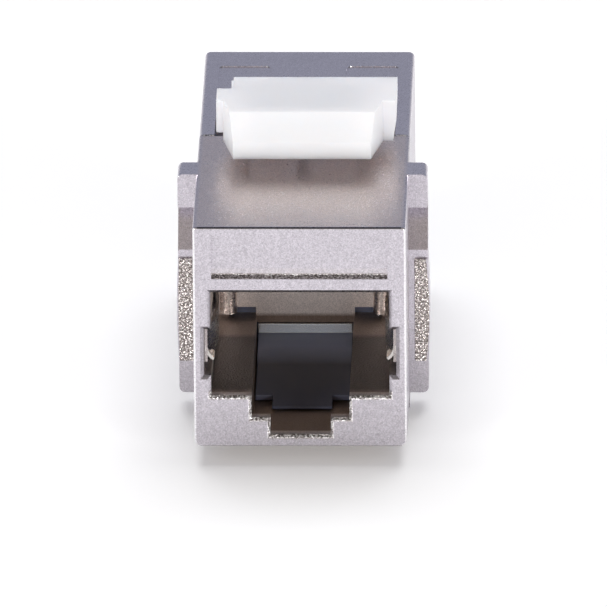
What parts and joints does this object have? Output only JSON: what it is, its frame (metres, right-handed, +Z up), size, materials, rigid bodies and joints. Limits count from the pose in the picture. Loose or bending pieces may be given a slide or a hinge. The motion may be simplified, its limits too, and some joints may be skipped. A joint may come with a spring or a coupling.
{
  "type": "ethernet keystone coupler",
  "caption": "Shielded metal snap-in coupler with a network socket at each end, stop wings, a fixed hook and a white plastic latch on top.",
  "frame": {"origin": "on the surface that the coupler stands on, below the middle of its length and width", "axes": "+Z up, towards the latch; the front port faces -Y; +X to the right seen from the front"},
  "size_m": [0.0174, 0.0336, 0.0215],
  "materials": {
    "nickel_casting": "satin nickel plate on a zinc die casting",
    "white_moulding": "semi-gloss white moulded plastic",
    "black_moulding": "matte black moulded plastic",
    "gold_contact": "gold plate on phosphor bronze wire",
    "spring_strip": "bright rolled spring strip",
    "board_laminate": "green glass-epoxy laminate"
  },
  "bodies": {
    "housing": {"front_housing": "nickel_casting", "rear_housing": "nickel_casting", "circuit_board": "board_laminate", "front_insert": "black_moulding", "rear_insert": "black_moulding", "front_contact_1": "gold_contact", "front_contact_2": "gold_contact", "front_contact_3": "gold_contact", "front_contact_4": "gold_contact", "front_contact_5": "gold_contact", "front_contact_6": "gold_contact", "front_contact_7": "gold_contact", "front_contact_8": "gold_contact", "rear_contact_1": "gold_contact", "rear_contact_2": "gold_contact", "rear_contact_3": "gold_contact", "rear_contact_4": "gold_contact", "rear_contact_5": "gold_contact", "rear_contact_6": "gold_contact", "rear_contact_7": "gold_contact", "rear_contact_8": "gold_contact", "front_ground_spring_left": "spring_strip", "front_ground_spring_right": "spring_strip", "rear_ground_spring_left": "spring_strip", "rear_ground_spring_right": "spring_strip"},
    "latch": {"latch": "white_moulding"}
  },
  "joints": [
    {"name": "latch_press", "type": "hinge", "parent": "housing", "child": "latch", "pos_m": [0, 0.0077, 0.01607], "axis": [1, 0, 0], "range_deg": [0, 4], "stiffness_Nm_per_rad": 1.5}
  ]
}
